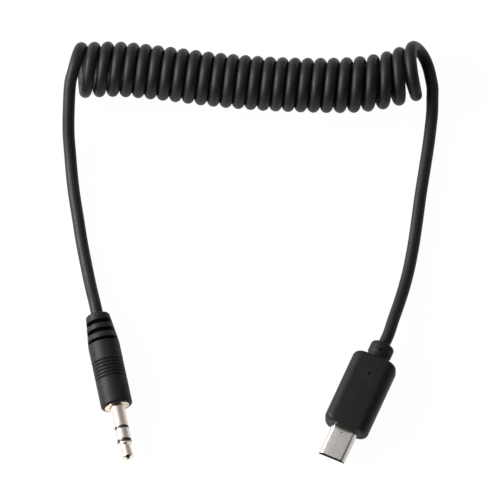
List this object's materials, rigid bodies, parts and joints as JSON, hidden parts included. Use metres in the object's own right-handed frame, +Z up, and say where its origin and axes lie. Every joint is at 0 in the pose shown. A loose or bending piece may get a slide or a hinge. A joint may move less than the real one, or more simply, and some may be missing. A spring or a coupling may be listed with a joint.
{
  "type": "cable shutter release",
  "caption": "Coiled shutter release cable with a stereo jack plug at one end and a flat moulded camera plug at the other, which fires a camera from a remote trigger.",
  "frame": {"origin": "below the middle of the two plugs' common box, on the surface that the cable lies on", "axes": "+X along the closed coil, from the jack's end of it to the camera plug's end; +Y from the plug tips towards the coil; +Z up"},
  "size_m": [0.0926, 0.1089, 0.014],
  "materials": {
    "overmould_black": "fine matte black moulding",
    "cord_black": "satin black cord jacket",
    "insulator_black": "smooth black insulator",
    "mould_natural": "natural inner moulding, hidden",
    "nickel": "bright warm nickel plate",
    "shell_plate": "plated sheet steel",
    "steel": "stamped steel",
    "contact_gold": "gold flash on the contacts",
    "wire_red": "red wire insulation, hidden",
    "wire_white": "white wire insulation, hidden",
    "wire_copper": "bare copper wire, hidden"
  },
  "bodies": {
    "jack_side": {"jack_overmould": "overmould_black", "jack_inner_mould": "mould_natural", "jack_sleeve": "nickel", "jack_ring_insulator": "insulator_black", "jack_ring": "nickel", "jack_tip_insulator": "insulator_black", "jack_tip": "nickel", "jack_ring_lug": "steel", "jack_tip_lug": "steel", "jack_cable_clamp": "steel", "jack_cord_end": "cord_black", "jack_wire_tip": "wire_red", "jack_wire_ring": "wire_white", "jack_wire_ground": "wire_copper", "cord_jack_tail": "cord_black", "cord_coil": "cord_black"},
    "camera_plug_side": {"camera_plug_overmould": "overmould_black", "camera_plug_inner_mould": "mould_natural", "camera_plug_shell": "shell_plate", "camera_plug_insulator": "insulator_black", "camera_plug_contact_1": "contact_gold", "camera_plug_contact_2": "contact_gold", "camera_plug_contact_3": "contact_gold", "camera_plug_contact_4": "contact_gold", "camera_plug_contact_5": "contact_gold", "camera_plug_cord_end": "cord_black", "camera_plug_wire_1": "wire_red", "camera_plug_wire_2": "wire_copper", "camera_plug_wire_3": "wire_white", "cord_camera_tail": "cord_black"},
    "latch_left": {"camera_plug_latch_left": "steel"},
    "latch_right": {"camera_plug_latch_right": "steel"}
  },
  "joints": [
    {"name": "coil_stretch", "type": "slide", "parent": "jack_side", "child": "camera_plug_side", "axis": [1, 0, 0], "range_m": [0, 0.25], "stiffness_N_per_m": 14, "deforming": ["cord_coil"]},
    {"name": "latch_left_press", "type": "hinge", "parent": "camera_plug_side", "child": "latch_left", "pos_m": [0.02348, -0.00893, 0.00335], "axis": [-0.9171, 0.3987, 0], "range_deg": [0, 3.2], "stiffness_Nm_per_rad": 0.3},
    {"name": "latch_right_press", "type": "hinge", "parent": "camera_plug_side", "child": "latch_right", "pos_m": [0.02801, -0.0109, 0.00335], "axis": [-0.9171, 0.3987, 0], "range_deg": [0, 3.2], "stiffness_Nm_per_rad": 0.3}
  ]
}
